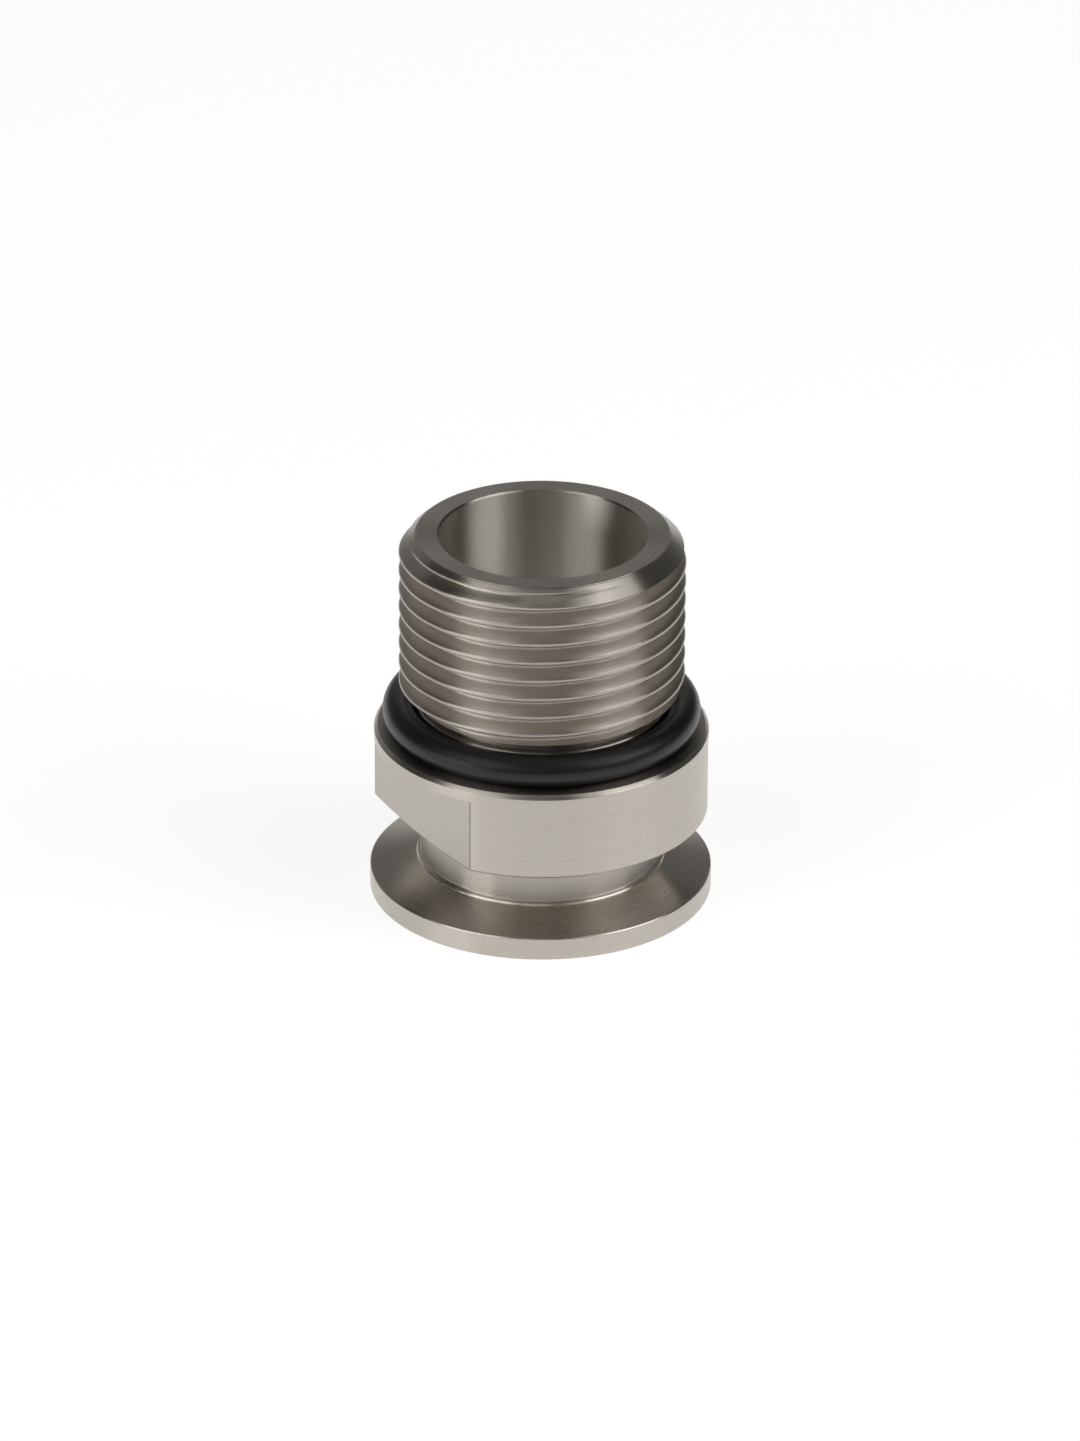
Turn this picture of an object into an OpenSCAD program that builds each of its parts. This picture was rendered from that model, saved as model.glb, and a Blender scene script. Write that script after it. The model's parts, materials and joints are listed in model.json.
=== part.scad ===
// Screw-in sight glass: a clamp flange, a collar with two wrench flats and a male pipe
// thread turned from one bar, an O-ring on the collar, and a window held inside by a
// threaded ring. The origin is the centre of the flange's sealing face, +Z points along
// the axis to the nose of the thread, and the wrench flats face +X and -X.

/* [Clamp flange] */
// Outside diameter of the flange
flange_d = 40; // [39:0.1:41]
// Height of the straight rim
rim_h = 2.7; // [2:0.1:3.2]
// Slope of the clamping taper, in degrees
taper_angle = 15; // [12:0.5:18]
// Diameter of the recess for the centring ring
recess_d = 26.2; // [26:0.1:26.4]
// Depth of the recess
recess_depth = 3; // [2.5:0.1:3.4]

/* [Neck] */
// Outside diameter of the neck
neck_d = 28; // [27.4:0.1:28.6]
// Height of the small step where the taper meets the neck
neck_step_h = 0.3; // [0.2:0.05:0.5]
// Radius of the fillet at the foot of the neck
neck_fillet_r = 0.3; // [0.2:0.05:0.6]
// Chamfer on the edge of that small step
foot_chamfer = 0.2; // [0.1:0.05:0.2]

/* [Collar] */
// Outside diameter of the collar
collar_d = 39; // [38:0.1:39.6]
// Height of the collar's lower edge
collar_z0 = 10.3; // [10:0.1:10.8]
// Height of the collar's top face, on which the O-ring lies
collar_z1 = 20.8; // [20.4:0.1:21]
// Chamfer of the collar's top edge
collar_chamfer = 0.45; // [0.2:0.05:0.8]
// Chamfer of the collar's bottom edge
collar_edge = 0.25; // [0.1:0.05:0.4]
// Slope of the collar's underside, in degrees
underside_angle = 10; // [5:1:12]
// Distance across the two wrench flats
across_flats = 32; // [31:0.5:34]
// Height of the round band left above the flats
flat_band_h = 1.6; // [0.8:0.1:2.5]

/* [Hub and thread] */
// Diameter of the hub inside the O-ring
hub_d = 29.3; // [29:0.1:29.4]
// Height of the hub's top edge
hub_z1 = 24; // [23.6:0.1:24.6]
// Diameter of the relief groove between the hub and the thread
relief_d = 27.4; // [27:0.1:29]
// Height of the thread's lower end
thread_z0 = 25.4; // [25:0.1:25.6]
// Diameter of the thread's lower end, where its 45 degree chamfer begins
thread_foot_d = 31.3; // [31:0.1:32]
// Major diameter of the thread
thread_d = 33.249; // [33.1:0.001:33.3]
// Pitch of the thread, 11 to the inch
pitch = 2.309; // [2.309:0.001:2.309]
// Number of grooves, of which the lowest runs into the chamfer
groove_count = 8; // [6:1:8]

/* [Nose and bore] */
// Height of the nose face above the flange face
total_h = 45; // [44.8:0.1:46]
// Height of the chamfer on the nose
nose_chamfer_h = 1.65; // [1.2:0.05:1.7]
// Outside diameter of the nose face
nose_d = 29.3; // [28.5:0.1:30]
// Diameter of the bore
bore_d = 24; // [23.8:0.1:24.1]
// Chamfer of the bore's mouth
mouth_chamfer = 0.2; // [0.1:0.05:0.3]

/* [O-ring on the collar] */
// Thickness of the O-ring
ring_section = 3.8; // [3.4:0.1:4]

/* [Window] */
// Height of the underside of the internal shoulder
shoulder_z0 = 19; // [18.8:0.1:19.2]
// Thickness of the internal shoulder
shoulder_h = 3; // [2.5:0.1:4]
// Diameter of the clear opening
aperture_d = 18; // [17:0.1:18.4]
// Diameter of the glass disc
glass_d = 23.6; // [23.2:0.1:23.7]
// Thickness of the glass disc
glass_h = 5; // [4.8:0.1:5]
// Chamfer of the glass disc's edges
glass_chamfer = 0.4; // [0.2:0.1:0.6]
// Thickness of the window's own O-ring before it is squeezed
window_ring_section = 2; // [1.9:0.1:2]
// Height of the window's O-ring when it is squeezed
window_ring_h = 1.6; // [1.5:0.1:1.7]
// Thickness of the cushion gasket
gasket_h = 1; // [0.9:0.1:1]
// Thickness of the slip washer
washer_h = 0.6; // [0.5:0.1:0.8]
// Major diameter of the retaining ring's thread
retaining_d = 25; // [24.8:0.1:25.2]
// Height of the retaining ring
retaining_h = 4; // [3.5:0.1:4]
// Width of the two spanner slots
slot_w = 2.4; // [2:0.1:3]
// Depth of the two spanner slots
slot_depth = 1.6; // [1.2:0.1:2]

/* [Hidden] */
$fn = 96;

// A small gap that keeps round neighbours apart, and the overrun of a cutting tool
gap = 0.1;
overrun = 1;

// The foot of the neck: where the taper ends, and the step above it
neck_r = neck_d / 2;
foot_r = neck_r + neck_fillet_r + foot_chamfer + 0.05;
taper_top_z = rim_h + (flange_d / 2 - foot_r) * tan(taper_angle);
step_top_z = taper_top_z + neck_step_h;
edge_chamfer = 0.15;

// The collar's underside falls towards the neck
underside_z = collar_z0 - (collar_d / 2 - neck_r) * tan(underside_angle);
collar_edge_z = collar_z0 - collar_edge * tan(underside_angle);

// A 55 degree thread form, cut off at a sixth of the sharp height at crest and root
flank_angle = 27.5;
sharp_h = pitch / 2 / tan(flank_angle);
thread_depth = sharp_h * 2 / 3;
crest_w = sharp_h / 3 * tan(flank_angle);
thread_r = thread_d / 2;
foot_thread_r = thread_foot_d / 2;
nose_chamfer_z = total_h - nose_chamfer_h;
first_groove_z = nose_chamfer_z - pitch / 2;

// The window stack, from the shoulder down
shoulder_z1 = shoulder_z0 + shoulder_h;
glass_z1 = shoulder_z0 - window_ring_h;
glass_z0 = glass_z1 - glass_h;
gasket_z0 = glass_z0 - gasket_h;
washer_z0 = gasket_z0 - washer_h;
retaining_z0 = washer_z0 - retaining_h;
pocket_thread_z1 = washer_z0 + 0.2;

steel = [0.69, 0.67, 0.63];
bright_steel = [0.76, 0.75, 0.72];
black_rubber = [0.12, 0.12, 0.13];
white_plastic = [0.93, 0.93, 0.91];
clear_glass = [0.80, 0.90, 0.88, 0.45];

// Points of a quarter-round fillet that runs up from (r0 + size, z0) to (r0, z0 + size)
function fillet(r0, z0, size, steps = 6) = [
    for (i = [0 : steps])
        [r0 + size * (1 - sin(90 * i / steps)), z0 + size * (1 - cos(90 * i / steps))]
];

module ring(r_in, r_out, z0, z1) {
    difference() {
        translate([0, 0, z0]) cylinder(r = r_out, h = z1 - z0);
        translate([0, 0, z0 - overrun]) cylinder(r = r_in, h = z1 - z0 + 2 * overrun);
    }
}

// The outside of the turning: flange, neck, collar, hub, relief groove, thread blank, nose
module turned_blank() {
    rotate_extrude()
        polygon(concat(
            [
                [0, 0],
                [flange_d / 2 - edge_chamfer, 0],
                [flange_d / 2, edge_chamfer],
                [flange_d / 2, rim_h],
                [foot_r, taper_top_z],
                [foot_r, step_top_z - foot_chamfer],
                [foot_r - foot_chamfer, step_top_z]
            ],
            fillet(neck_r, step_top_z, neck_fillet_r),
            [
                [neck_r, underside_z],
                [collar_d / 2 - collar_edge, collar_edge_z],
                [collar_d / 2, collar_z0 + collar_edge],
                [collar_d / 2, collar_z1 - collar_chamfer],
                [collar_d / 2 - collar_chamfer, collar_z1],
                [hub_d / 2, collar_z1],
                [hub_d / 2, hub_z1 - edge_chamfer],
                [hub_d / 2 - edge_chamfer, hub_z1],
                [relief_d / 2, hub_z1],
                [relief_d / 2, thread_z0],
                [foot_thread_r, thread_z0],
                [thread_r, thread_z0 + thread_r - foot_thread_r],
                [thread_r, nose_chamfer_z],
                [nose_d / 2, total_h],
                [0, total_h]
            ]
        ));
}

module thread_groove(z) {
    open_w = pitch - crest_w;
    root_w = open_w - 2 * thread_depth * tan(flank_angle);
    slope_w = overrun * tan(flank_angle);
    rotate_extrude()
        translate([thread_r, z])
            polygon([
                [-thread_depth, -root_w / 2],
                [overrun, -open_w / 2 - slope_w],
                [overrun, open_w / 2 + slope_w],
                [-thread_depth, root_w / 2]
            ]);
}

module wrench_flat() {
    flat_x = across_flats / 2;
    flat_z0 = underside_z - overrun;
    flat_z1 = collar_z1 - flat_band_h;
    translate([flat_x, -collar_d / 2, flat_z0])
        cube([collar_d / 2, collar_d, flat_z1 - flat_z0]);
}

module fitting_body() {
    color(steel)
        difference() {
            turned_blank();
            for (i = [0 : groove_count - 1]) thread_groove(first_groove_z - i * pitch);
            wrench_flat();
            mirror([1, 0, 0]) wrench_flat();
            // bore down to the shoulder, and the chamfer of its mouth
            translate([0, 0, shoulder_z1])
                cylinder(d = bore_d, h = total_h - shoulder_z1 + overrun);
            translate([0, 0, total_h - mouth_chamfer])
                cylinder(
                    d1 = bore_d, d2 = bore_d + 4 * mouth_chamfer, h = 2 * mouth_chamfer
                );
            // clear opening, window pocket, pocket thread and centring recess
            translate([0, 0, -overrun])
                cylinder(d = aperture_d, h = total_h);
            translate([0, 0, -overrun])
                cylinder(d = bore_d, h = shoulder_z0 + overrun);
            translate([0, 0, -overrun])
                cylinder(d = retaining_d + gap, h = pocket_thread_z1 + overrun);
            translate([0, 0, -overrun])
                cylinder(d = recess_d, h = recess_depth + overrun);
        }
}

module thread_o_ring() {
    color(black_rubber)
        rotate_extrude()
            translate([hub_d / 2 + ring_section / 2 + gap / 2, collar_z1 + ring_section / 2])
                circle(d = ring_section);
}

module window_o_ring() {
    mid_r = (aperture_d + glass_d) / 4 + 0.1;
    color(black_rubber)
        rotate_extrude()
            translate([mid_r, shoulder_z0 - window_ring_h / 2])
                intersection() {
                    circle(d = window_ring_section);
                    square([window_ring_section + 1, window_ring_h], center = true);
                }
}

module glass_disc() {
    r = glass_d / 2;
    color(clear_glass)
        rotate_extrude()
            polygon([
                [0, glass_z0],
                [r - glass_chamfer, glass_z0],
                [r, glass_z0 + glass_chamfer],
                [r, glass_z1 - glass_chamfer],
                [r - glass_chamfer, glass_z1],
                [0, glass_z1]
            ]);
}

module cushion_gasket() {
    color(white_plastic)
        ring(aperture_d / 2, glass_d / 2, gasket_z0, glass_z0);
}

module slip_washer() {
    color(bright_steel)
        ring(aperture_d / 2, glass_d / 2, washer_z0, gasket_z0);
}

module retaining_ring() {
    color(steel)
        difference() {
            ring(aperture_d / 2, retaining_d / 2, retaining_z0, washer_z0);
            translate([-retaining_d, -slot_w / 2, retaining_z0 - overrun])
                cube([2 * retaining_d, slot_w, slot_depth + overrun]);
        }
}

fitting_body();
thread_o_ring();
window_o_ring();
glass_disc();
cushion_gasket();
slip_washer();
retaining_ring();
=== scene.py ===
import json
import math

import bmesh
import bpy
import numpy as np
from mathutils import Matrix, Vector

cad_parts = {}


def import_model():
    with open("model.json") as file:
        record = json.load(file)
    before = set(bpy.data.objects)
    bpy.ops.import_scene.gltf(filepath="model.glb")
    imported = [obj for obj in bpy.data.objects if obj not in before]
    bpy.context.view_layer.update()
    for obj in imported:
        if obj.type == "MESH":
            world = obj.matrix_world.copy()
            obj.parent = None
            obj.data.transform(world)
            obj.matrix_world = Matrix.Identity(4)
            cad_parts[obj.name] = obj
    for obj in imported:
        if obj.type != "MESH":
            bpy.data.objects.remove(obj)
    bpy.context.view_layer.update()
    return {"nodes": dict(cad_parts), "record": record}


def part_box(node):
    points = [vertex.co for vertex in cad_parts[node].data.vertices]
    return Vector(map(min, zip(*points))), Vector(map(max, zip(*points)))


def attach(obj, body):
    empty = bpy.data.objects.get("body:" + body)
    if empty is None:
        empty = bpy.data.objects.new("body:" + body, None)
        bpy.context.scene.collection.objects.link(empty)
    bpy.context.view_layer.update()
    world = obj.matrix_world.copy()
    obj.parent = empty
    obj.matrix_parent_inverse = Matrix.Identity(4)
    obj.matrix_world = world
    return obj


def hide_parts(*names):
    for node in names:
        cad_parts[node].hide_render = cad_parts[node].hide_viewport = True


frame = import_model()
MM = 0.001
TURN = 2 * math.pi
SHARP_DEG = 28
LARGE_FACE_WEIGHT = 90
SAME_POINT = 0.004


# ---------------------------------------------------------------- sizes from the frame

def box_mm(node):
    """Lowest and highest corner of a CAD node, in millimetres."""
    low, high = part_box(node)
    return np.array(low) / MM, np.array(high) / MM


def mount(name):
    """The record's entry for a mount."""
    return next(m for m in frame["record"]["mounts"] if m["name"] == name)


def round_mount(name):
    """A round mount's height on the axis, radius and length, in millimetres."""
    found = mount(name)
    dims = found["dims"]
    return found["pos_m"][2] / MM, dims.get("r_mm"), dims.get("length_mm")


FLANGE_R, _, TOTAL_H = box_mm("fitting_body")[1]
THREAD_Z0, THREAD_R, THREAD_LENGTH = round_mount("pipe_thread")
MOUTH_Z, BORE_R, BORE_LENGTH = round_mount("viewing_bore")
RECESS_R, RECESS_DEPTH = round_mount("centring_recess")[1:]
FLAT_X = mount("wrench_flat_plus_x")["pos_m"][0] / MM

# Clamp flange and neck, between the interfaces, as in the CAD
RIM_H = 2.7
RIM_CHAMFER_R = 0.09
RIM_CHAMFER_H = 0.1
TAPER = math.radians(15)
NECK_R = 14.0
NECK_FOOT_R = 14.55
TAPER_TOP = RIM_H + (FLANGE_R - NECK_FOOT_R) * math.tan(TAPER)
NECK_FILLET = 0.33
FOOT_WALL = 0.06
FOOT_CHAMFER_R = 0.14
FOOT_CHAMFER_H = 0.2

# Collar with the wrench flats. A fine nick runs along each upright edge of a flat.
COLLAR_R = 19.5
COLLAR_Z0 = 10.3
COLLAR_Z1 = 20.8
COLLAR_CHAMFER = 0.45
COLLAR_FOOT_CHAMFER = 0.25
UNDERSIDE = math.radians(10)
FLAT_BAND_H = 1.6
FLAT_EDGE = math.acos(FLAT_X / COLLAR_R)
NICK_W = 0.22
NICK_DEPTH = 0.06

# Hub, relief groove and nose
HUB_R = 14.65
HUB_Z1 = 24.0
HUB_CHAMFER = 0.15
RELIEF_R = 13.7
RELIEF_Z1 = 25.4
THREAD_FOOT_R = 15.65
NOSE_R = 14.65
NOSE_CHAMFER_Z = THREAD_Z0 + THREAD_LENGTH
MOUTH_CHAMFER = 0.2

# Inside: the shoulder over the window, and the pocket that holds it
SHOULDER_Z0 = 19.0
SHOULDER_Z1 = MOUTH_Z - BORE_LENGTH
APERTURE_R = 9.0
APERTURE_CHAMFER = 0.3
POCKET_THREAD_R = 12.55
POCKET_THREAD_Z1 = 11.0
POCKET_ENTRY_CUT = 0.1
POCKET_RUNOUT = 0.6

# The pipe thread: 11 turns to the inch, 55 degrees, crests and roots rounded. Its top groove
# is half a pitch under the nose chamfer at the angle that faces the camera.
PITCH = 25.4 / 11
FLANK = math.radians(27.5)
THREAD_DEPTH = 0.6403 * PITCH
THREAD_ROUND = 0.1373 * PITCH
CAMERA_AZIMUTH = math.radians(-30.4)
FRONT = math.atan2(-math.cos(CAMERA_AZIMUTH), math.sin(CAMERA_AZIMUTH))
TOP_GROOVE_Z = NOSE_CHAMFER_Z - PITCH / 2

# The fine thread of the pocket and the retaining ring
FINE_PITCH = 1.0
FINE_DEPTH = 0.5
FINE_FLANK = math.radians(30)
FINE_ROUND = 0.1
FINE_PLAY = 0.05
POCKET_GROOVE_Z = 5.0
RING_GROOVE_Z = 5.5

# The retaining ring
RING_CHAMFER = 0.2
RING_THREAD_CHAMFER = 0.5
SLOT_W = 2.4
SLOT_DEPTH = 1.6


# ---------------------------------------------------------------- rings round the axis

def column_angles(cells):
    """Angles of the mesh's columns, with one on each edge of the two wrench flats."""
    marks = [-FLAT_EDGE, FLAT_EDGE, math.pi - FLAT_EDGE, math.pi + FLAT_EDGE, TURN - FLAT_EDGE]
    beside = NICK_W / 2 / COLLAR_R
    spans = []
    for a, b in zip(marks, marks[1:]):
        count = max(8, round(cells * (b - a) / TURN))
        spans.append([a])
        spans.append(np.linspace(a + beside, b - beside, count))
    return np.concatenate(spans)


ANGLES = column_angles(240)


def rounded(corners, steps=3):
    """Rows of (r, z) points along an outline. A corner is (r, z, rounding radius), and r and z
    may differ from column to column. Each rounding is an arc, drawn as a weighted quadratic
    curve. The first and last corners stay sharp."""
    count = len(ANGLES)
    points = [
        np.stack([np.broadcast_to(r, count), np.broadcast_to(z, count)], 1).astype(float)
        for r, z, _ in corners
    ]
    rows = []
    for i, (_, _, radius) in enumerate(corners):
        here = points[i]
        if radius == 0 or i in (0, len(corners) - 1):
            rows.append(here)
            continue
        back, ahead = points[i - 1] - here, points[i + 1] - here
        back_len = np.linalg.norm(back, axis=1, keepdims=True)
        ahead_len = np.linalg.norm(ahead, axis=1, keepdims=True)
        back = back / np.maximum(back_len, 1e-9)
        ahead = ahead / np.maximum(ahead_len, 1e-9)
        cosine = np.clip((back * ahead).sum(1, keepdims=True), -1, 1)
        half = np.arccos(cosine) / 2
        reach = radius / np.maximum(np.tan(half), 1e-6)
        reach = np.minimum(reach, 0.95 * np.minimum(back_len, ahead_len))
        weight = np.sin(half)
        start, end = here + back * reach, here + ahead * reach
        for s in np.linspace(0, 1, steps + 1):
            a, b, c = (1 - s) ** 2, 2 * s * (1 - s) * weight, s * s
            rows.append((a * start + b * here + c * end) / (a + b + c))
    return rows


class Skin:
    """A mesh made of rings of points round the Z axis, joined by faces."""

    def __init__(self):
        self.points = []
        self.faces = []

    def point(self, angle, r, z):
        """Adds a point and returns its number."""
        self.points.append((r * math.cos(angle), r * math.sin(angle), z))
        return len(self.points) - 1

    def ring(self, row):
        """Adds a row's points, one in each column, and returns their numbers."""
        return [self.point(a, r, z) for a, (r, z) in zip(ANGLES, row)]

    def rows(self, rows, start=None, end=None):
        """Joins rows into a tube. start and end are rings that exist already and take the
        place of the first and the last row. Returns the first and the last ring."""
        rings = [self.ring(row) for row in rows[1:-1]]
        first = start or self.ring(rows[0])
        last = end or self.ring(rows[-1])
        self.join([first, *rings, last])
        return first, last

    def join(self, rings):
        """Joins each ring to the next one."""
        for low, high in zip(rings, rings[1:]):
            for j in range(len(low)):
                k = (j + 1) % len(low)
                self.faces.append((low[j], low[k], high[k], high[j]))

    def columns(self, columns, pitch):
        """Joins columns of (mark, key, r, z) points, lowest first, into a tube. Points with
        one mark lie on one helix, and key orders the points of two neighbours. Returns the
        lowest and the highest ring."""
        indices = [
            [self.point(a, r, z) for _, _, r, z in column]
            for a, column in zip(ANGLES, columns)
        ]
        count = len(columns)
        for j in range(count):
            k = (j + 1) % count
            left = [(mark, key, at) for (mark, key, _, _), at in zip(columns[j], indices[j])]
            right = [(mark, key, at) for (mark, key, _, _), at in zip(columns[k], indices[k])]
            if k == 0:  # one turn on, every helix has risen by a pitch
                right = [(one_turn_on(mark), key - pitch, at) for mark, key, at in right]
            self.join_columns(left, right)
        return [c[0] for c in indices], [c[-1] for c in indices]

    def join_columns(self, left, right):
        """Joins two columns of (mark, key, point) from the bottom up: a four-sided face where
        both go on to the same mark, and otherwise a triangle on the side that is behind."""
        i = j = 0
        while i < len(left) - 1 or j < len(right) - 1:
            more_left, more_right = i < len(left) - 1, j < len(right) - 1
            a, b = left[i][2], right[j][2]
            if more_left and more_right and left[i + 1][0] == right[j + 1][0]:
                self.faces.append((a, b, right[j + 1][2], left[i + 1][2]))
                i, j = i + 1, j + 1
            elif more_left and (not more_right or left[i + 1][1] <= right[j + 1][1]):
                self.faces.append((a, b, left[i + 1][2]))
                i += 1
            else:
                self.faces.append((a, b, right[j + 1][2]))
                j += 1

    def mesh_object(self, name, sharp_deg=SHARP_DEG):
        """The finished object made of these points and faces."""
        return mesh_object(name, self.points, self.faces, sharp_deg)


def one_turn_on(mark):
    """What a mark is called on the first column's side of the seam."""
    return (mark[0] - 1, *mark[1:]) if isinstance(mark, tuple) else mark


def mesh_object(name, points, faces, sharp_deg):
    """A closed mesh, smooth except across edges sharper than sharp_deg. Points in mm."""
    bm = bmesh.new()
    verts = [bm.verts.new(Vector(p) * MM) for p in points]
    for face in faces:
        corners = list(dict.fromkeys(face))
        if len(corners) > 2:
            bm.faces.new([verts[i] for i in corners])
    bmesh.ops.remove_doubles(bm, verts=bm.verts, dist=0.0005 * MM)
    bmesh.ops.dissolve_degenerate(bm, dist=0.0002 * MM, edges=bm.edges)
    bmesh.ops.recalc_face_normals(bm, faces=bm.faces)
    mesh = bpy.data.meshes.new(name)
    bm.to_mesh(mesh)
    bm.free()
    obj = bpy.data.objects.new(name, mesh)
    bpy.context.scene.collection.objects.link(obj)
    finish_shading(obj, sharp_deg)
    return obj


def finish_shading(obj, sharp_deg):
    """Smooth shading in which the large faces stay true and the small ones bend."""
    obj.data.polygons.foreach_set("use_smooth", [True] * len(obj.data.polygons))
    obj.data.set_sharp_from_angle(angle=math.radians(sharp_deg))
    weighted = obj.modifiers.new("weighted_normals", "WEIGHTED_NORMAL")
    weighted.mode = "FACE_AREA"
    weighted.weight = LARGE_FACE_WEIGHT
    weighted.keep_sharp = True
    bake_modifiers(obj)


def bake_modifiers(obj):
    """Puts the result of an object's modifiers into its mesh."""
    bpy.context.view_layer.update()
    result = obj.evaluated_get(bpy.context.evaluated_depsgraph_get())
    mesh = bpy.data.meshes.new_from_object(result)
    obj.modifiers.clear()
    old, obj.data = obj.data, mesh
    bpy.data.meshes.remove(old)
    mesh.name = obj.name


# ---------------------------------------------------------------- threads

def groove_form(pitch, depth, flank, rounding):
    """One pitch of a thread as (height from the groove's middle, depth under the crest). It
    runs from the middle of one flank through the root and the crest, both rounded."""
    sharp_depth = pitch / 2 / math.tan(flank)
    spare = (sharp_depth - depth) / 2
    middle = depth / 2
    corners = [
        (-pitch / 4, middle, 0),
        (0, depth + spare, rounding),
        (pitch / 2, -spare, rounding),
        (3 * pitch / 4, middle, 0),
    ]
    points = [tuple(row[0]) for row in rounded(corners, steps=6)]
    return np.array(points[:-1])


def thread_columns(z0, z1, outline, crest_r, form, pitch, groove_z, inside):
    """Columns of a helical thread between two heights, as Skin.columns takes them. outline is
    the turned shape, as (z, r) points, that the thread is cut into, and groove_z is the middle
    of groove 0 at the angle FRONT."""
    columns = []
    for angle in ANGLES:
        lift = groove_z + pitch * (angle - FRONT) / TURN
        points = groove_points(z0, z1, outline, form, pitch, lift)
        columns.append(cut_column(points, outline, crest_r, lift, -1 if inside else 1))
    return columns


def groove_points(z0, z1, outline, form, pitch, lift):
    """One column's (z, mark, turn, depth under the crest) points, lowest first: the corners of
    the groove in every turn, and a point wherever the outline bends."""
    found = []
    first = math.floor((z0 - lift) / pitch) - 1
    last = math.ceil((z1 - lift) / pitch) + 1
    for turn in range(first, last + 1):
        for k, (height, depth) in enumerate(form):
            z = lift + turn * pitch + height
            if z0 < z < z1:
                found.append((z, (turn, k), turn, depth))
    heights = np.append(form[:, 0], form[0, 0] + pitch)
    depths = np.append(form[:, 1], form[0, 1])
    for k, (z, _) in enumerate(outline):
        turn = math.floor((z - lift - heights[0]) / pitch)
        depth = float(np.interp(z - lift - turn * pitch, heights, depths))
        found = [point for point in found if abs(point[0] - z) > SAME_POINT]
        found.append((z, f"bend{k}", turn, depth))
    return sorted(found, key=lambda point: point[0])


def cut_column(points, outline, crest_r, lift, side):
    """One column's (mark, key, r, z) points: on the groove where it is cut into the outline, on
    the outline elsewhere, and one wherever the two cross. side is 1 on an outer thread and -1
    on an inner one."""
    outline_z, outline_r = np.array(outline, float).T
    column = []
    before = None
    for z, mark, turn, depth in points:
        groove_r = crest_r - side * depth
        turned_r = float(np.interp(z, outline_z, outline_r))
        gap = side * (groove_r - turned_r)
        if before:
            z_before, r_before, gap_before = before
            if gap_before * gap < -1e-9:
                t = gap_before / (gap_before - gap)
                cross_z = z_before + t * (z - z_before)
                cross_r = r_before + t * (turned_r - r_before)
                way = "in" if gap < gap_before else "out"
                column.append(((turn, way), cross_z - lift, cross_r, cross_z))
        column.append((mark, z - lift, side * min(side * groove_r, side * turned_r), z))
        before = z, turned_r, gap
    return column


PIPE_FORM = groove_form(PITCH, THREAD_DEPTH, FLANK, THREAD_ROUND)
FINE_FORM = groove_form(FINE_PITCH, FINE_DEPTH, FINE_FLANK, FINE_ROUND)


# ---------------------------------------------------------------- the steel body

def collar_radius():
    """The collar's radius in each column, cut by the two wrench flats. A fine nick from the
    milling cutter runs along each flat's upright edges."""
    radius = np.minimum(COLLAR_R, FLAT_X / np.maximum(np.abs(np.cos(ANGLES)), 1e-6))
    edge = np.abs(np.abs(np.cos(ANGLES)) - FLAT_X / COLLAR_R) < 1e-9
    return np.where(edge, radius - NICK_DEPTH, radius)


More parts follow.
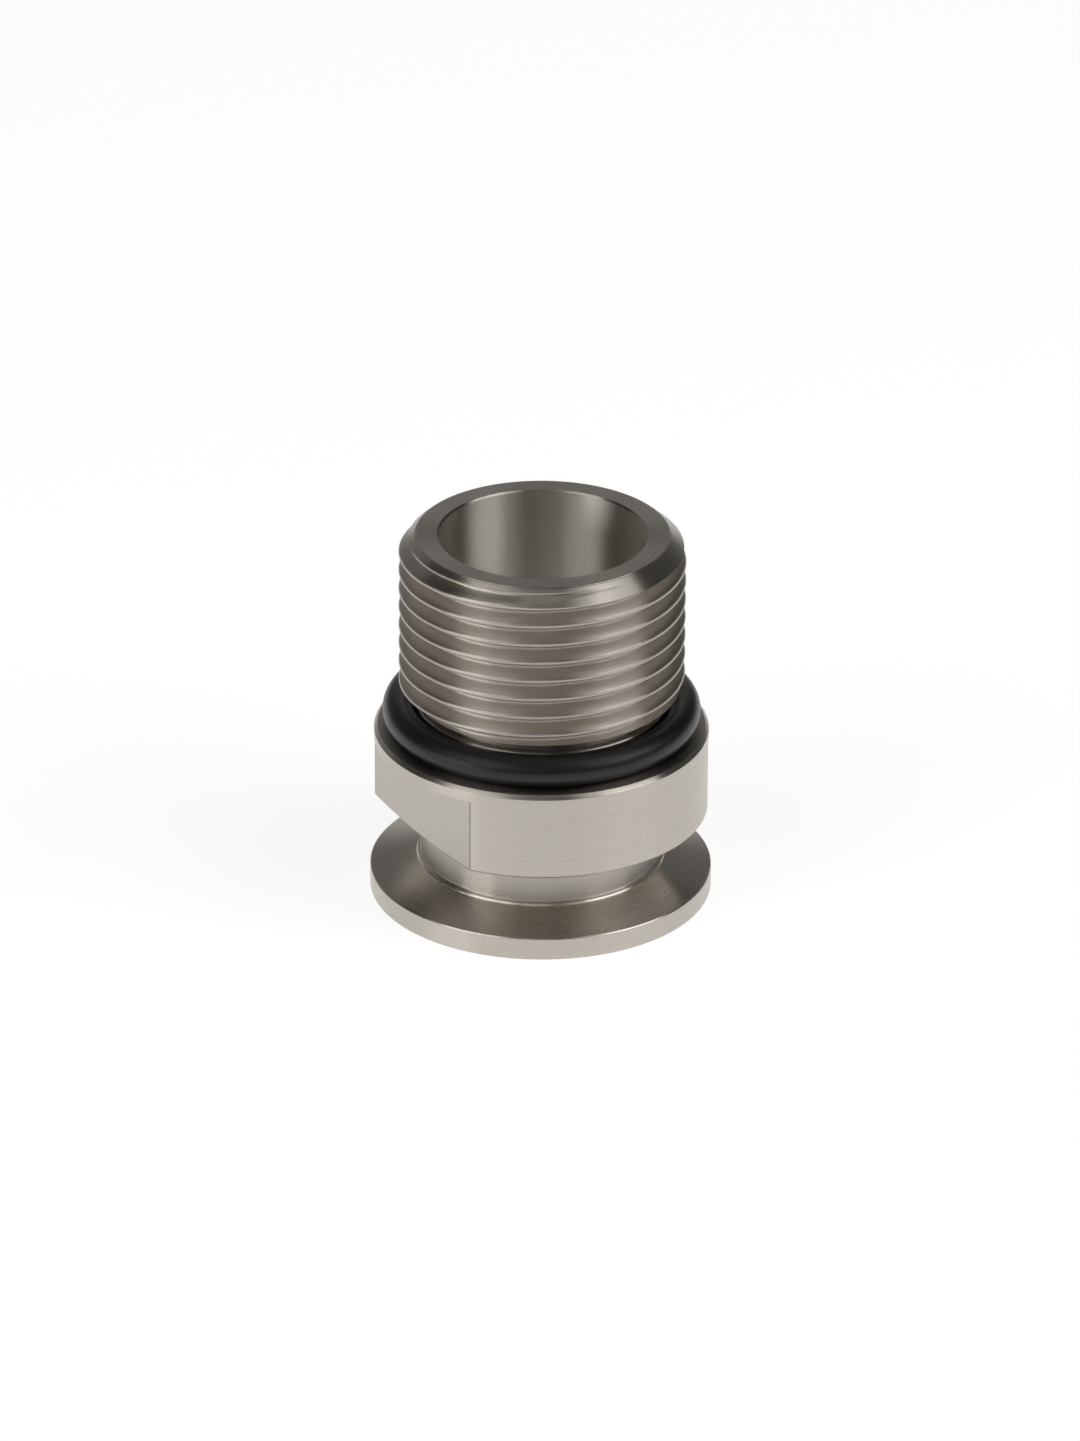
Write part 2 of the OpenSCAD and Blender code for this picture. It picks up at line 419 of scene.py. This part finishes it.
def body():
    """The turned body in three tubes: the outside from the recess to the pipe thread, the
    inside from the nose to the fine thread, and the recess between the two."""
    skin = Skin()
    below_nose = 0.1
    nose_slope = (TOTAL_H - NOSE_CHAMFER_Z) / (THREAD_R - NOSE_R)
    thread_top = TOTAL_H - below_nose
    outline = [
        (RELIEF_Z1, THREAD_FOOT_R),
        (RELIEF_Z1 + THREAD_R - THREAD_FOOT_R, THREAD_R),
        (NOSE_CHAMFER_Z, THREAD_R),
        (thread_top, NOSE_R + below_nose / nose_slope),
    ]
    columns = thread_columns(
        RELIEF_Z1, thread_top, outline, THREAD_R, PIPE_FORM, PITCH, TOP_GROOVE_Z,
        inside=False,
    )
    thread_low, thread_high = skin.columns(columns, PITCH)

    pocket_top = POCKET_THREAD_Z1 - POCKET_RUNOUT
    entry_r = POCKET_THREAD_R + POCKET_ENTRY_CUT
    crest_r = POCKET_THREAD_R - FINE_DEPTH
    pocket = [
        (RECESS_DEPTH, entry_r),
        (RECESS_DEPTH + POCKET_RUNOUT, crest_r),
        (pocket_top, crest_r),
    ]
    columns = thread_columns(
        RECESS_DEPTH, pocket_top, pocket, crest_r, FINE_FORM, FINE_PITCH, POCKET_GROOVE_Z,
        inside=True,
    )
    fine_low, fine_high = skin.columns(columns, FINE_PITCH)

    step_z = TAPER_TOP + FOOT_WALL + FOOT_CHAMFER_H
    rim_z = RIM_H + RIM_CHAMFER_R * math.tan(TAPER)
    cut_r = collar_radius()
    under_z = COLLAR_Z0 - (COLLAR_R - cut_r) * math.tan(UNDERSIDE)
    neck_top = COLLAR_Z0 - (COLLAR_R - NECK_R) * math.tan(UNDERSIDE)
    flat_top = COLLAR_Z1 - FLAT_BAND_H
    mid_recess = RECESS_DEPTH / 2
    first, _ = skin.rows(
        rounded([
            (RECESS_R, mid_recess, 0),
            (RECESS_R, 0, 0.12),
            (FLANGE_R, 0, 0.15),
            (FLANGE_R, RIM_H - RIM_CHAMFER_H, 0.02),
            (FLANGE_R - RIM_CHAMFER_R, rim_z, 0.02),
            (NECK_FOOT_R, TAPER_TOP, 0.02),
            (NECK_FOOT_R, TAPER_TOP + FOOT_WALL, 0.02),
            (NECK_FOOT_R - FOOT_CHAMFER_R, step_z, 0.03),
            (NECK_R, step_z, NECK_FILLET),
            (NECK_R, neck_top, 0.25),
            (cut_r - COLLAR_FOOT_CHAMFER, under_z - COLLAR_FOOT_CHAMFER * math.tan(UNDERSIDE), 0.04),
            (cut_r, under_z + COLLAR_FOOT_CHAMFER, 0.04),
            (cut_r, flat_top, 0.03),
            (COLLAR_R, flat_top, 0.04),
            (COLLAR_R, COLLAR_Z1 - COLLAR_CHAMFER, 0.08),
            (COLLAR_R - COLLAR_CHAMFER, COLLAR_Z1, 0.08),
            (HUB_R, COLLAR_Z1, 0.2),
            (HUB_R, HUB_Z1 - HUB_CHAMFER, 0.03),
            (HUB_R - HUB_CHAMFER, HUB_Z1, 0.03),
            (RELIEF_R, HUB_Z1, 0.15),
            (RELIEF_R, RELIEF_Z1, 0.25),
            (THREAD_R, RELIEF_Z1, 0),
        ]),
        end=thread_low,
    )
    skin.rows(
        rounded([
            (0, 0, 0),
            (NOSE_R, TOTAL_H, 0.08),
            (BORE_R + MOUTH_CHAMFER, TOTAL_H, 0.05),
            (BORE_R, MOUTH_Z, 0.05),
            (BORE_R, SHOULDER_Z1, 0.3),
            (APERTURE_R + APERTURE_CHAMFER, SHOULDER_Z1, 0.05),
            (APERTURE_R, SHOULDER_Z1 - APERTURE_CHAMFER, 0.05),
            (APERTURE_R, SHOULDER_Z0 + APERTURE_CHAMFER, 0.05),
            (APERTURE_R + APERTURE_CHAMFER, SHOULDER_Z0, 0.05),
            (BORE_R, SHOULDER_Z0, 0.2),
            (BORE_R, POCKET_THREAD_Z1 + 0.2, 0.05),
            (POCKET_THREAD_R, POCKET_THREAD_Z1, 0.05),
            (POCKET_THREAD_R, pocket_top, 0.05),
            (crest_r, pocket_top, 0),
        ]),
        start=thread_high, end=fine_high,
    )
    skin.rows(
        rounded([
            (entry_r, RECESS_DEPTH, 0),
            (RECESS_R, RECESS_DEPTH, 0.1),
            (RECESS_R, mid_recess, 0),
        ]),
        start=fine_low, end=first,
    )
    return skin.mesh_object("turned_body")


# ---------------------------------------------------------------- seals, window and ring

def lathe(name, corners):
    """A closed solid of revolution from the corners of its section, listed as a loop."""
    skin = Skin()
    rows = rounded([corners[-1], *corners, corners[0]])[1:-1]
    rings = [skin.ring(row) for row in rows]
    skin.join(rings + rings[:1])
    return skin.mesh_object(name)


def o_ring(name, node, flat_top_bottom=False):
    """An O-ring that fills the CAD node's box. Between two faces its top and bottom are flat."""
    low, high = box_mm(node)
    height = high[2] - low[2]
    middle_z = (high[2] + low[2]) / 2
    inner = min_radius(node)
    width = high[0] - inner
    centre_r = (high[0] + inner) / 2
    steps = 48
    skin = Skin()
    rings = []
    for i in range(steps):
        t = TURN * i / steps
        r = centre_r + width / 2 * math.cos(t)
        z = width / 2 * math.sin(t)
        z = max(-height / 2, min(height / 2, z)) if flat_top_bottom else z * height / width
        rings.append(skin.ring([(r, middle_z + z)] * len(ANGLES)))
    skin.join(rings + rings[:1])
    return skin.mesh_object(name, sharp_deg=40)


def min_radius(node):
    """The smallest distance of a CAD node's points from the axis, in millimetres."""
    points = np.array([v.co for v in frame["nodes"][node].data.vertices]) / MM
    return float(np.hypot(points[:, 0], points[:, 1]).min())


def flat_ring(name, node, edge):
    """A washer of the CAD node's size with rounded edges."""
    low, high = box_mm(node)
    inner, outer = min_radius(node), high[0]
    return lathe(name, [
        (inner, low[2], edge),
        (outer, low[2], edge),
        (outer, high[2], edge),
        (inner, high[2], edge),
    ])


def window():
    """The glass disc, chamfered at both edges."""
    low, high = box_mm("glass_disc")
    r, z0, z1 = high[0], low[2], high[2]
    chamfer, edge = 0.4, 0.08
    skin = Skin()
    skin.rows(rounded([
        (0, z0, 0),
        (r - chamfer, z0, edge),
        (r, z0 + chamfer, edge),
        (r, z1 - chamfer, edge),
        (r - chamfer, z1, edge),
        (0, z1, 0),
    ]))
    return skin.mesh_object("window_disc")


def threaded_ring():
    """The retaining ring: a fine thread outside, a plain hole and two spanner slots."""
    low, high = box_mm("retaining_ring")
    inner, outer = min_radius("retaining_ring"), high[0]
    crest_r = outer - FINE_PLAY
    face_r = crest_r - FINE_DEPTH - 0.1
    z0, z1 = low[2], high[2]
    edge = 0.08
    outline = [
        (z0 + edge, face_r + edge),
        (z0 + RING_THREAD_CHAMFER, crest_r),
        (z1 - RING_THREAD_CHAMFER, crest_r),
        (z1 - edge, face_r + edge),
    ]
    skin = Skin()
    columns = thread_columns(
        z0 + edge, z1 - edge, outline, crest_r, FINE_FORM, FINE_PITCH, RING_GROOVE_Z,
        inside=False,
    )
    below, above = skin.columns(columns, FINE_PITCH)
    skin.rows(
        rounded([
            (0, 0, 0),
            (face_r, z1, 0.05),
            (inner + RING_CHAMFER, z1, 0.04),
            (inner, z1 - RING_CHAMFER, 0.04),
            (inner, z0 + RING_CHAMFER, 0.04),
            (inner + RING_CHAMFER, z0, 0.04),
            (face_r, z0, 0.05),
            (0, 0, 0),
        ]),
        start=above, end=below,
    )
    ring = skin.mesh_object("threaded_ring")
    cut_slots(ring, z0, reach=outer + 2)
    return ring


def cut_slots(ring, z0, reach):
    """Cuts two spanner slots into the ring's lower face with one bar along X."""
    length, width = 2 * reach * MM, SLOT_W * MM
    low, high = (z0 - 1) * MM, (z0 + SLOT_DEPTH) * MM
    bm = bmesh.new()
    bmesh.ops.create_cube(bm, size=1)
    for v in bm.verts:
        v.co = Vector((length * v.co.x, width * v.co.y, low + (v.co.z + 0.5) * (high - low)))
    cutter_mesh = bpy.data.meshes.new("slot_cutter")
    bm.to_mesh(cutter_mesh)
    bm.free()
    cutter = bpy.data.objects.new("slot_cutter", cutter_mesh)
    bpy.context.scene.collection.objects.link(cutter)
    cut = ring.modifiers.new("slots", "BOOLEAN")
    cut.operation = "DIFFERENCE"
    cut.solver = "EXACT"
    cut.object = cutter
    bake_modifiers(ring)
    bpy.data.objects.remove(cutter)
    bpy.data.meshes.remove(cutter_mesh)
    finish_shading(ring, SHARP_DEG)


# ---------------------------------------------------------------- materials

# Marks of the lathe tool: their spacing and depth in metres, how much a rise in height counts
# beside a change of radius, and how quickly they change round the axis
MARK_SPACING = 0.0003
MARK_DEPTH = 2.5e-7
MARK_SLANT = 0.83
MARK_WANDER = 0.4


class Nodes:
    """Short ways to add and link shader nodes."""

    def __init__(self, tree):
        self.tree = tree

    def add(self, kind, **settings):
        node = self.tree.nodes.new(kind)
        for key, value in settings.items():
            setattr(node, key, value)
        return node

    def link(self, source, target):
        self.tree.links.new(source, target)

    def math(self, operation, *values):
        """A sum of one or two values, each a number or another node's output."""
        node = self.add("ShaderNodeMath", operation=operation)
        for socket, value in zip(node.inputs, values):
            if isinstance(value, (int, float)):
                socket.default_value = value
            else:
                self.link(value, socket)
        return node.outputs[0]


def new_material(name, **settings):
    """A material, its nodes and its shader, with settings such as Base_Color on the shader."""
    material = bpy.data.materials.new(name)
    material.use_nodes = True
    nodes = Nodes(material.node_tree)
    shader = material.node_tree.nodes["Principled BSDF"]
    for socket, value in settings.items():
        shader.inputs[socket.replace("_", " ")].default_value = value
    return material, nodes, shader


def uneven_roughness(nodes, shader, noise, roughness):
    """Lets the roughness vary by 15 per cent either way with a noise texture."""
    rough = nodes.add("ShaderNodeMapRange")
    rough.inputs["To Min"].default_value = roughness * 0.85
    rough.inputs["To Max"].default_value = roughness * 1.15
    nodes.link(noise.outputs["Fac"], rough.inputs["Value"])
    nodes.link(rough.outputs[0], shader.inputs["Roughness"])


def turned_coordinates(nodes):
    """Radius, height and angle round the Z axis, from the object's own coordinates."""
    place = nodes.add("ShaderNodeTexCoord").outputs["Object"]
    split = nodes.add("ShaderNodeSeparateXYZ")
    nodes.link(place, split.inputs[0])
    x, y, z = split.outputs
    squares = nodes.math("ADD", nodes.math("MULTIPLY", x, x), nodes.math("MULTIPLY", y, y))
    radius = nodes.math("SQRT", squares)
    angle = nodes.math("ARCTAN2", y, x)
    return radius, z, angle


def turned_steel(name, colour, roughness, anisotropy):
    """Stainless steel from the lathe: fine rings left by the tool, which stretch its gloss."""
    material, nodes, shader = new_material(
        name, Base_Color=(*colour, 1), Metallic=1.0, Anisotropic=anisotropy,
        Anisotropic_Rotation=0.25,
    )
    radius, height, angle = turned_coordinates(nodes)
    across = nodes.math("ADD", radius, nodes.math("MULTIPLY", height, MARK_SLANT))
    vector = nodes.add("ShaderNodeCombineXYZ")
    nodes.link(nodes.math("MULTIPLY", across, 1 / MARK_SPACING), vector.inputs[0])
    nodes.link(nodes.math("MULTIPLY", angle, MARK_WANDER), vector.inputs[1])
    marks = nodes.add("ShaderNodeTexNoise")
    marks.inputs["Scale"].default_value = 1.0
    marks.inputs["Detail"].default_value = 3.0
    nodes.link(vector.outputs[0], marks.inputs["Vector"])
    bump = nodes.add("ShaderNodeBump")
    bump.inputs["Strength"].default_value = 1.0
    bump.inputs["Distance"].default_value = MARK_DEPTH
    nodes.link(marks.outputs["Fac"], bump.inputs["Height"])
    nodes.link(bump.outputs[0], shader.inputs["Normal"])
    uneven_roughness(nodes, shader, marks, roughness)
    tangent = nodes.add("ShaderNodeTangent", direction_type="RADIAL", axis="Z")
    nodes.link(tangent.outputs[0], shader.inputs["Tangent"])
    return material


def rubber(name, colour, roughness):
    """Moulded black rubber with a faint unevenness."""
    material, nodes, shader = new_material(
        name, Base_Color=(*colour, 1), Specular_IOR_Level=0.42
    )
    place = nodes.add("ShaderNodeTexCoord").outputs["Object"]
    grain = nodes.add("ShaderNodeTexNoise")
    grain.inputs["Scale"].default_value = 900.0
    nodes.link(place, grain.inputs["Vector"])
    uneven_roughness(nodes, shader, grain, roughness)
    return material


def plastic(name, colour, roughness):
    return new_material(name, Base_Color=(*colour, 1), Roughness=roughness)[0]


def glass(name, tint):
    """Clear polished borosilicate glass with a faint green tint."""
    return new_material(
        name, Base_Color=(*tint, 1), Roughness=0.02, Transmission_Weight=1.0, IOR=1.47
    )[0]


def wear(piece, material, node):
    """Gives a piece its material and ties it to the CAD node it stands for."""
    piece.data.materials.clear()
    piece.data.materials.append(material)
    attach(piece, "root")
    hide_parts(node)


FINISH_GAP = 0.05


def finish_faces_with_painted_light(piece, material, belongs):
    """Gives the faces whose middle, as (angle, r, z) in mm, belongs a material of their own: another
    finish, with a colour lighter or darker than the body's steel as painted light or shade.
    """
    piece.data.materials.append(material)
    slot = len(piece.data.materials) - 1
    for face in piece.data.polygons:
        x, y, z = face.center / MM
        if belongs(math.atan2(y, x), math.hypot(x, y), z):
            face.material_index = slot


def in_bore(angle, r, z):
    """The wall of the viewing bore, which gets a lighter steel as painted light."""
    return r < BORE_R + FINISH_GAP and z > SHOULDER_Z1


def in_thread(angle, r, z):
    """The pipe thread, up to the nose chamfer, which gets a rougher steel made slightly darker as
    painted shade.
    """
    return r > HUB_R and RELIEF_Z1 < z < NOSE_CHAMFER_Z - FINISH_GAP


def on_small_edge(angle, r, z):
    """The chamfer on the rim, and the one at the foot of the neck, which get a lighter steel as a
    painted highlight.
    """
    on_rim = r > FLANGE_R - RIM_CHAMFER_R and z > RIM_H - RIM_CHAMFER_H
    by_foot = NECK_FOOT_R - FOOT_CHAMFER_R < r < NECK_FOOT_R
    return on_rim or by_foot and TAPER_TOP < z < TAPER_TOP + FOOT_WALL + FOOT_CHAMFER_H


def on_flat_edge(angle, r, z):
    """The fine nick along an upright edge of a wrench flat, which gets a dark steel as painted shade
    in the crease.
    """
    off = abs(abs(math.pi / 2 - abs(angle)) - (math.pi / 2 - FLAT_EDGE)) * COLLAR_R
    return off < NICK_W / 2 and COLLAR_Z0 + COLLAR_FOOT_CHAMFER < z < COLLAR_Z1 - FLAT_BAND_H


# ---------------------------------------------------------------- stage, light and camera

LIGHT_DISTANCE = 1.4
LIGHT_AIM_Z = 0.02
ROOM_COLOUR = (0.043, 0.042, 0.04, 1)
WHITE = (1, 1, 1, 1)


def floor():
    """White paper lit from below, like a light table."""
    half = 6.0
    mesh = bpy.data.meshes.new("studio_floor")
    corners = [(-half, -half, 0), (half, -half, 0), (half, half, 0), (-half, half, 0)]
    mesh.from_pydata(corners, [], [(0, 1, 2, 3)])
    obj = bpy.data.objects.new("studio_floor", mesh)
    bpy.context.scene.collection.objects.link(obj)
    paper = new_material(
        "white_paper", Base_Color=(0.6, 0.6, 0.6, 1), Roughness=0.9, Specular_IOR_Level=0.1,
        Emission_Color=WHITE, Emission_Strength=0.77,
    )[0]
    mesh.materials.append(paper)


def world():
    """A dark room for reflections and a white one for the camera."""
    scene_world = bpy.data.worlds.new("studio")
    bpy.context.scene.world = scene_world
    scene_world.use_nodes = True
    nodes = Nodes(scene_world.node_tree)
    background = scene_world.node_tree.nodes["Background"]
    output = scene_world.node_tree.nodes["World Output"]
    background.inputs["Color"].default_value = ROOM_COLOUR
    pale = nodes.add("ShaderNodeBackground")
    pale.inputs["Color"].default_value = WHITE
    mix = nodes.add("ShaderNodeMixShader")
    path = nodes.add("ShaderNodeLightPath")
    nodes.link(path.outputs["Is Camera Ray"], mix.inputs[0])
    nodes.link(background.outputs[0], mix.inputs[1])
    nodes.link(pale.outputs[0], mix.inputs[2])
    nodes.link(mix.outputs[0], output.inputs["Surface"])


def around(azimuth, elevation, distance, height):
    """A place at an azimuth from the camera's side, an elevation and a distance."""
    a = CAMERA_AZIMUTH + azimuth
    flat = distance * math.cos(elevation)
    return (flat * math.sin(a), -flat * math.cos(a), height + distance * math.sin(elevation))


def camera():
    """A long lens, about a metre away, looking down at the part from the front."""
    distance = 1.0589
    elevation = math.radians(26.271)
    roll = math.radians(0.35)
    target = Vector((0, 0, 0.021))
    off_centre = Vector((-0.00017, -0.00002, 0))
    data = bpy.data.cameras.new("camera")
    data.sensor_width = 36.0
    data.lens = 227.27
    obj = bpy.data.objects.new("camera", data)
    bpy.context.scene.collection.objects.link(obj)
    place = Vector(around(0, elevation, distance, target.z))
    turn = (target - place).to_track_quat("-Z", "Y").to_matrix().to_4x4()
    rolled = Matrix.Translation(place) @ turn @ Matrix.Rotation(roll, 4, "Z")
    obj.matrix_world = rolled @ Matrix.Translation(off_centre)
    bpy.context.scene.camera = obj


def lights():
    """Softboxes to the left and right of the camera, and weak panels above and behind."""
    panel("right_softbox", 70, 35, (0.95, 0.55), 3.68)
    panel("right_front_panel", 38, 35, (0.45, 0.55), 0.32)
    panel("right_upper_softbox", 60, 60, (0.6, 0.5), 1.07)
    panel("right_top_softbox", 95, 60, (0.5, 0.5), 0.65)
    panel("left_softbox", -50, 35, (0.9, 0.55), 2.05)
    panel("left_front_panel", -20, 35, (0.5, 0.55), 0.35)
    panel("left_upper_softbox", -68, 55, (0.7, 0.5), 0.95)
    panel("left_top_panel", -40, 60, (0.35, 0.5), 0.3)
    panel("left_lower_softbox", -60, 8, (0.8, 0.3), 2.2)
    panel("front_panel", 0, 35, (0.4, 0.5), 0.25)
    panel("overhead_panel", 0, 89, (0.5, 0.5), 0.44)
    panel("rear_wall", -165, 18, (2.2, 1.2), 1.0)
    panel("rear_panel", 180, 10, (0.6, 0.5), 0.5)


def panel(name, azimuth, elevation, size, power):
    """A softbox aimed at the part, from an azimuth from the camera's side and an elevation, in
    degrees. size is its width and height in metres, and power is in watts."""
    light = bpy.data.lights.new(name, "AREA")
    light.shape = "RECTANGLE"
    light.size, light.size_y = size
    light.energy = power
    obj = bpy.data.objects.new(name, light)
    bpy.context.scene.collection.objects.link(obj)
    place = around(math.radians(azimuth), math.radians(elevation), LIGHT_DISTANCE, LIGHT_AIM_Z)
    obj.location = place
    aim = Vector((0, 0, LIGHT_AIM_Z)) - Vector(place)
    obj.rotation_euler = aim.to_track_quat("-Z", "Y").to_euler()


# ---------------------------------------------------------------- the scene

steel = turned_steel("turned_stainless", (0.533, 0.497, 0.443), 0.28, 0.95)
# A rougher copy of the steel for the thread, its colour made slightly darker as painted shade that
# dims the thread's highlights.
rough_thread_shade_steel = turned_steel("threaded_stainless", (0.5, 0.463, 0.412), 0.34, 0.93)
# A lighter copy of the steel for the small chamfers on the rim and at the neck's foot: a painted
# highlight that brightens their edge lines, with a smoother finish.
edge_highlight_steel = turned_steel("edge_stainless", (0.72, 0.68, 0.61), 0.26, 0.92)
# A dark copy of the steel for the nicks along the flats' edges: painted shade in the crease, with
# its own rougher finish.
nick_shade_steel = turned_steel("nicked_stainless", (0.3, 0.275, 0.24), 0.4, 0.5)
# A lighter copy of the steel for the bore: painted light inside the bore, with a rougher finish of
# its own.
bore_painted_light_steel = turned_steel("bored_stainless", (0.82, 0.775, 0.7), 0.5, 1.0)
ring_steel = turned_steel("ring_stainless", (0.5, 0.475, 0.435), 0.3, 0.7)
washer_steel = turned_steel("washer_stainless", (0.6, 0.58, 0.54), 0.22, 0.6)
black_rubber = rubber("black_rubber", (0.0055, 0.006, 0.0075), 0.36)

fitting = body()
wear(fitting, steel, "fitting_body")
# The bore, thread, flat-edge nicks and small chamfers get copies of the steel with their own
# roughness, their colours lighter or darker as painted light and shade.
finish_faces_with_painted_light(fitting, bore_painted_light_steel, in_bore)
finish_faces_with_painted_light(fitting, rough_thread_shade_steel, in_thread)
finish_faces_with_painted_light(fitting, nick_shade_steel, on_flat_edge)
finish_faces_with_painted_light(fitting, edge_highlight_steel, on_small_edge)
wear(o_ring("face_o_ring", "thread_o_ring"), black_rubber, "thread_o_ring")
wear(
    o_ring("window_seal", "window_o_ring", flat_top_bottom=True), black_rubber,
    "window_o_ring",
)
wear(window(), glass("borosilicate", (0.93, 0.98, 0.965)), "glass_disc")
wear(
    flat_ring("white_cushion", "cushion_gasket", 0.06),
    plastic("white_ptfe", (0.86, 0.86, 0.84), 0.5), "cushion_gasket",
)
wear(flat_ring("thin_washer", "slip_washer", 0.04), washer_steel, "slip_washer")
wear(threaded_ring(), ring_steel, "retaining_ring")

floor()
world()
lights()
camera()
bpy.context.scene.view_settings.view_transform = "Standard"
